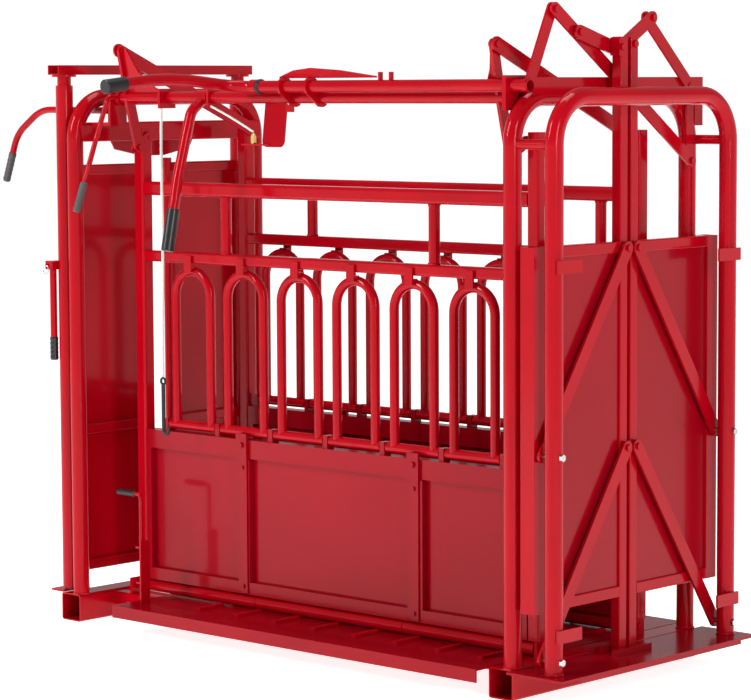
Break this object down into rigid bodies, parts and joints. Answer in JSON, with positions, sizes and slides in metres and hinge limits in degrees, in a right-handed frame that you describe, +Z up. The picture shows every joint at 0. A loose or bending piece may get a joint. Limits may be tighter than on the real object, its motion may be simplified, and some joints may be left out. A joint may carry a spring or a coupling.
{
  "type": "cattle squeeze chute",
  "caption": "Walk-through restraint frame for cattle: swinging squeeze walls with drop bars, head gate leaves and a linked tailgate worked by levers.",
  "frame": {"origin": "On the ground, under the middle of the rear square cross tube.", "axes": "+X points out of the tailgate (rear), -Y is the operator's side with the levers, +Z is up."},
  "size_m": [2.9047, 1.5891, 2.231],
  "materials": {
    "red_paint": "gloss powder coat",
    "grip_rubber": "satin",
    "white_rope": "braided",
    "black_hook": "satin",
    "brass_fitting": "polished",
    "zinc_bolt": "zinc plated"
  },
  "bodies": {
    "base": {"base_tubes": "red_paint", "floor_pan": "red_paint", "tread_cleats": "red_paint", "rear_deck_plate": "red_paint", "outer_arch": "red_paint", "inner_arch": "red_paint", "front_arch": "red_paint", "cross_beams": "red_paint", "shaft_brackets": "red_paint", "gate_post_bolts": "zinc_bolt", "wall_hinge_rods": "red_paint", "headgate_posts": "red_paint", "headgate_channel": "red_paint", "hang_rope": "white_rope", "rope_hook": "black_hook", "pull_line": "white_rope", "brass_snap": "brass_fitting"},
    "near_wall": {"near_wall_frame": "red_paint", "near_wall_panel": "red_paint"},
    "far_wall": {"far_wall_frame": "red_paint", "far_wall_panel": "red_paint"},
    "near_bar_1": {"near_drop_bar_1": "red_paint"},
    "near_bar_2": {"near_drop_bar_2": "red_paint"},
    "near_bar_3": {"near_drop_bar_3": "red_paint"},
    "near_bar_4": {"near_drop_bar_4": "red_paint"},
    "near_bar_5": {"near_drop_bar_5": "red_paint"},
    "near_bar_6": {"near_drop_bar_6": "red_paint"},
    "far_bar_1": {"far_drop_bar_1": "red_paint"},
    "far_bar_2": {"far_drop_bar_2": "red_paint"},
    "far_bar_3": {"far_drop_bar_3": "red_paint"},
    "far_bar_4": {"far_drop_bar_4": "red_paint"},
    "far_bar_5": {"far_drop_bar_5": "red_paint"},
    "far_bar_6": {"far_drop_bar_6": "red_paint"},
    "squeeze_shaft": {"squeeze_shaft": "red_paint", "squeeze_lever": "red_paint", "squeeze_grip": "grip_rubber"},
    "near_squeeze_links": {"near_squeeze_links": "red_paint"},
    "far_squeeze_links": {"far_squeeze_links": "red_paint"},
    "near_lower_link": {"near_lower_link": "red_paint"},
    "near_upper_link": {"near_upper_link": "red_paint"},
    "near_gate": {"near_gate_frame": "red_paint", "near_gate_sheet": "red_paint"},
    "near_tie": {"near_gate_tie": "red_paint"},
    "far_lower_link": {"far_lower_link": "red_paint"},
    "far_upper_link": {"far_upper_link": "red_paint"},
    "far_gate": {"far_gate_frame": "red_paint", "far_gate_sheet": "red_paint"},
    "far_tie": {"far_gate_tie": "red_paint"},
    "far_crank": {"far_bell_crank": "red_paint"},
    "cross_bar": {"gate_cross_bar": "red_paint"},
    "tailgate_handle": {"tailgate_shaft": "red_paint", "tailgate_handle": "red_paint", "tailgate_grip": "grip_rubber"},
    "near_leaf": {"near_headgate_leaf": "red_paint", "neck_handle": "red_paint"},
    "far_leaf": {"far_headgate_leaf": "red_paint"},
    "headgate_lever": {"headgate_lever": "red_paint"},
    "latch_lever": {"latch_lever": "red_paint"},
    "lock_rod": {"lock_rod": "red_paint"}
  },
  "joints": [
    {"name": "near_wall_hinge", "type": "hinge", "parent": "base", "child": "near_wall", "pos_m": [-0.914, -0.265, 0.128], "axis": [1, 0, 0], "range_deg": [0, 4.2]},
    {"name": "far_wall_hinge", "type": "hinge", "parent": "base", "child": "far_wall", "pos_m": [-0.914, 0.265, 0.128], "axis": [1, 0, 0], "range_deg": [-4.2, 0]},
    {"name": "near_bar_1_hinge", "type": "hinge", "parent": "near_wall", "child": "near_bar_1", "pos_m": [-1.649, -0.265, 0.74], "axis": [1, 0, 0], "range_deg": [0, 10]},
    {"name": "near_bar_2_hinge", "type": "hinge", "parent": "near_wall", "child": "near_bar_2", "pos_m": [-1.38, -0.265, 0.74], "axis": [1, 0, 0], "range_deg": [0, 105]},
    {"name": "near_bar_3_hinge", "type": "hinge", "parent": "near_wall", "child": "near_bar_3", "pos_m": [-1.111, -0.265, 0.74], "axis": [1, 0, 0], "range_deg": [0, 105]},
    {"name": "near_bar_4_hinge", "type": "hinge", "parent": "near_wall", "child": "near_bar_4", "pos_m": [-0.842, -0.265, 0.74], "axis": [1, 0, 0], "range_deg": [0, 105]},
    {"name": "near_bar_5_hinge", "type": "hinge", "parent": "near_wall", "child": "near_bar_5", "pos_m": [-0.573, -0.265, 0.74], "axis": [1, 0, 0], "range_deg": [0, 105]},
    {"name": "near_bar_6_hinge", "type": "hinge", "parent": "near_wall", "child": "near_bar_6", "pos_m": [-0.304, -0.265, 0.74], "axis": [1, 0, 0], "range_deg": [0, 105]},
    {"name": "far_bar_1_hinge", "type": "hinge", "parent": "far_wall", "child": "far_bar_1", "pos_m": [-1.715, 0.265, 0.78], "axis": [1, 0, 0], "range_deg": [-105, 0]},
    {"name": "far_bar_2_hinge", "type": "hinge", "parent": "far_wall", "child": "far_bar_2", "pos_m": [-1.446, 0.265, 0.78], "axis": [1, 0, 0], "range_deg": [-105, 0]},
    {"name": "far_bar_3_hinge", "type": "hinge", "parent": "far_wall", "child": "far_bar_3", "pos_m": [-1.177, 0.265, 0.78], "axis": [1, 0, 0], "range_deg": [-105, 0]},
    {"name": "far_bar_4_hinge", "type": "hinge", "parent": "far_wall", "child": "far_bar_4", "pos_m": [-0.908, 0.265, 0.78], "axis": [1, 0, 0], "range_deg": [-105, 0]},
    {"name": "far_bar_5_hinge", "type": "hinge", "parent": "far_wall", "child": "far_bar_5", "pos_m": [-0.639, 0.265, 0.78], "axis": [1, 0, 0], "range_deg": [-105, 0]},
    {"name": "far_bar_6_hinge", "type": "hinge", "parent": "far_wall", "child": "far_bar_6", "pos_m": [-0.37, 0.265, 0.78], "axis": [1, 0, 0], "range_deg": [-105, 0]},
    {"name": "squeeze_shaft_turn", "type": "hinge", "parent": "base", "child": "squeeze_shaft", "pos_m": [-0.914, -0.375, 1.93], "axis": [1, 0, 0], "range_deg": [-40.1, 0]},
    {"name": "near_squeeze_link_pivot", "type": "hinge", "parent": "near_wall", "child": "near_squeeze_links", "pos_m": [-0.914, -0.265, 1.785], "axis": [1, 0, 0], "range_deg": [-18.6, 0]},
    {"name": "far_squeeze_link_pivot", "type": "hinge", "parent": "far_wall", "child": "far_squeeze_links", "pos_m": [-0.914, 0.265, 1.805], "axis": [1, 0, 0], "range_deg": [0, 5.4]},
    {"name": "near_lower_link_pivot", "type": "hinge", "parent": "base", "child": "near_lower_link", "pos_m": [0.149, -0.461, 0.145], "axis": [1, 0, 0], "range_deg": [0, 22]},
    {"name": "near_gate_pivot", "type": "hinge", "parent": "near_lower_link", "child": "near_gate", "pos_m": [0.149, -0.027, 0.784], "axis": [1, 0, 0], "range_deg": [-22, 0]},
    {"name": "near_upper_link_pivot", "type": "hinge", "parent": "base", "child": "near_upper_link", "pos_m": [0.149, -0.461, 0.799], "axis": [1, 0, 0], "range_deg": [0, 22]},
    {"name": "far_lower_link_pivot", "type": "hinge", "parent": "base", "child": "far_lower_link", "pos_m": [0.149, 0.461, 0.145], "axis": [1, 0, 0], "range_deg": [-22, 0]},
    {"name": "far_gate_pivot", "type": "hinge", "parent": "far_lower_link", "child": "far_gate", "pos_m": [0.149, 0.027, 0.784], "axis": [1, 0, 0], "range_deg": [0, 22]},
    {"name": "far_upper_link_pivot", "type": "hinge", "parent": "base", "child": "far_upper_link", "pos_m": [0.149, 0.461, 0.799], "axis": [1, 0, 0], "range_deg": [-22, 0]},
    {"name": "far_crank_pivot", "type": "hinge", "parent": "base", "child": "far_crank", "pos_m": [0.063, 0.422, 1.963], "axis": [1, 0, 0], "range_deg": [-53, 0]},
    {"name": "tailgate_handle_turn", "type": "hinge", "parent": "base", "child": "tailgate_handle", "pos_m": [-0.914, -0.425, 1.967], "axis": [1, 0, 0], "range_deg": [0, 61.1]},
    {"name": "cross_bar_pivot", "type": "hinge", "parent": "far_crank", "child": "cross_bar", "pos_m": [0.075, 0.417, 1.712], "axis": [1, 0, 0], "range_deg": [0, 62.6]},
    {"name": "near_tie_pivot", "type": "hinge", "parent": "near_gate", "child": "near_tie", "pos_m": [0.09, -0.04, 2.09], "axis": [1, 0, 0], "range_deg": [0, 41.9]},
    {"name": "far_tie_pivot", "type": "hinge", "parent": "far_gate", "child": "far_tie", "pos_m": [0.09, 0.027, 2.1], "axis": [1, 0, 0], "range_deg": [-4.1, 0]},
    {"name": "near_leaf_hinge", "type": "hinge", "parent": "base", "child": "near_leaf", "pos_m": [-2.133, -0.445, 1], "axis": [0, 0, 1], "range_deg": [0, 60]},
    {"name": "far_leaf_hinge", "type": "hinge", "parent": "base", "child": "far_leaf", "pos_m": [-2.133, 0.445, 1], "axis": [0, 0, 1], "range_deg": [-60, 0]},
    {"name": "headgate_lever_pivot", "type": "hinge", "parent": "base", "child": "headgate_lever", "pos_m": [-1.984, -0.325, 1.882], "axis": [0, 1, 0], "range_deg": [-12, 0]},
    {"name": "latch_lever_turn", "type": "hinge", "parent": "base", "child": "latch_lever", "pos_m": [-1.9, -0.375, 1.93], "axis": [1, 0, 0], "range_deg": [-35, 0]},
    {"name": "lock_rod_slide", "type": "slide", "parent": "base", "child": "lock_rod", "axis": [0, 0, 1], "range_m": [0, 0.06]}
  ],
  "couplings": [
    {"joint": "far_wall_hinge", "follows": "near_wall_hinge", "ratio": -1},
    {"joint": "squeeze_shaft_turn", "follows": "near_wall_hinge", "ratio": -9.524},
    {"joint": "near_squeeze_link_pivot", "follows": "near_wall_hinge", "ratio": -4.405},
    {"joint": "far_squeeze_link_pivot", "follows": "near_wall_hinge", "ratio": 1.257},
    {"joint": "near_gate_pivot", "follows": "near_lower_link_pivot", "ratio": -1},
    {"joint": "near_upper_link_pivot", "follows": "near_lower_link_pivot", "ratio": 1},
    {"joint": "far_lower_link_pivot", "follows": "near_lower_link_pivot", "ratio": -1},
    {"joint": "far_gate_pivot", "follows": "near_lower_link_pivot", "ratio": 1},
    {"joint": "far_upper_link_pivot", "follows": "near_lower_link_pivot", "ratio": -1},
    {"joint": "far_crank_pivot", "follows": "near_lower_link_pivot", "ratio": -2.4083},
    {"joint": "tailgate_handle_turn", "follows": "near_lower_link_pivot", "ratio": 2.7748},
    {"joint": "cross_bar_pivot", "follows": "near_lower_link_pivot", "ratio": 2.8444},
    {"joint": "near_tie_pivot", "follows": "near_lower_link_pivot", "ratio": 1.9016},
    {"joint": "far_tie_pivot", "follows": "near_lower_link_pivot", "ratio": -0.1821},
    {"joint": "far_leaf_hinge", "follows": "near_leaf_hinge", "ratio": -1}
  ]
}
